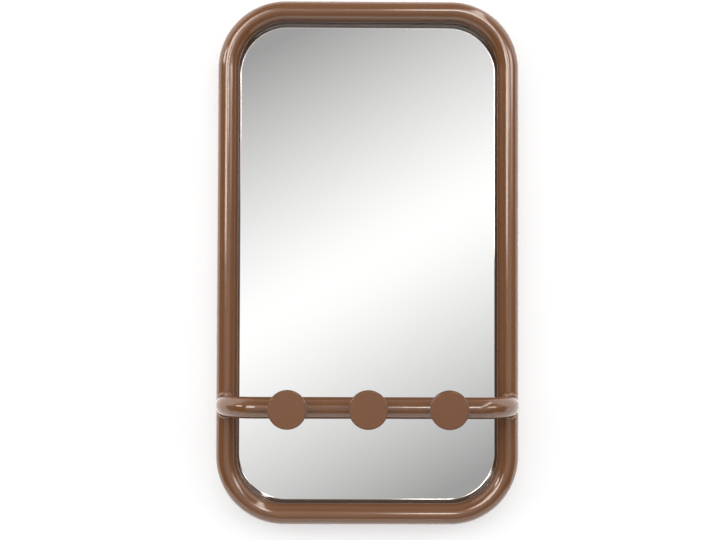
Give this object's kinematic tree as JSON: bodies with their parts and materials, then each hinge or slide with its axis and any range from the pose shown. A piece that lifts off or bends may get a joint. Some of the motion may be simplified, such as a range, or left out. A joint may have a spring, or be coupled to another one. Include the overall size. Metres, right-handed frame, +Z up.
{
  "type": "wall mirror with coat hooks",
  "caption": "Upright wall mirror in a round-cornered bent-tube frame, with a forward-bent tube rail of flat disc coat hooks across its lower part, hung on keyhole plates.",
  "frame": {"origin": "the point of the wall behind the middle of the frame, on the plane of the hanger plates' and pads' rear faces", "axes": "+Z up along the mirror's long side, +Y into the wall, +X to the right of someone who looks into the mirror"},
  "size_m": [0.402, 0.1063, 0.698],
  "materials": {
    "frame_paint": "glossy mid-brown powder coat",
    "disc_paint": "satin mid-brown powder coat",
    "silvered_glass": "silvered float glass",
    "foam_tape": "white foam mounting tape",
    "black_board": "black painted hardboard",
    "zinc_steel": "bright zinc plate",
    "black_rubber": "matt black rubber"
  },
  "bodies": {
    "root": {"frame_tube": "frame_paint", "hook_rail": "frame_paint", "rail_weld_left_upper": "frame_paint", "rail_weld_left_lower": "frame_paint", "rail_weld_right_upper": "frame_paint", "rail_weld_right_lower": "frame_paint", "hook_stem_left": "frame_paint", "stem_weld_left": "frame_paint", "hook_disc_left": "disc_paint", "hook_stem_centre": "frame_paint", "stem_weld_centre": "frame_paint", "hook_disc_centre": "disc_paint", "hook_stem_right": "frame_paint", "stem_weld_right": "frame_paint", "hook_disc_right": "disc_paint", "mirror_glass": "silvered_glass", "tape_strip_left": "foam_tape", "tape_strip_centre": "foam_tape", "tape_strip_right": "foam_tape", "back_board": "black_board", "boss_left_lower": "frame_paint", "screw_left_lower": "zinc_steel", "boss_left_middle": "frame_paint", "screw_left_middle": "zinc_steel", "boss_left_upper": "frame_paint", "screw_left_upper": "zinc_steel", "boss_bottom_left": "frame_paint", "screw_bottom_left": "zinc_steel", "boss_right_lower": "frame_paint", "screw_right_lower": "zinc_steel", "boss_right_middle": "frame_paint", "screw_right_middle": "zinc_steel", "boss_right_upper": "frame_paint", "screw_right_upper": "zinc_steel", "boss_bottom_right": "frame_paint", "screw_bottom_right": "zinc_steel", "boss_hanger_left_left": "frame_paint", "screw_hanger_left_left": "zinc_steel", "boss_hanger_left_right": "frame_paint", "screw_hanger_left_right": "zinc_steel", "boss_hanger_right_left": "frame_paint", "screw_hanger_right_left": "zinc_steel", "boss_hanger_right_right": "frame_paint", "screw_hanger_right_right": "zinc_steel", "hanger_plate_left": "zinc_steel", "wall_pad_left": "black_rubber", "hanger_plate_right": "zinc_steel", "wall_pad_right": "black_rubber"}
  },
  "joints": []
}
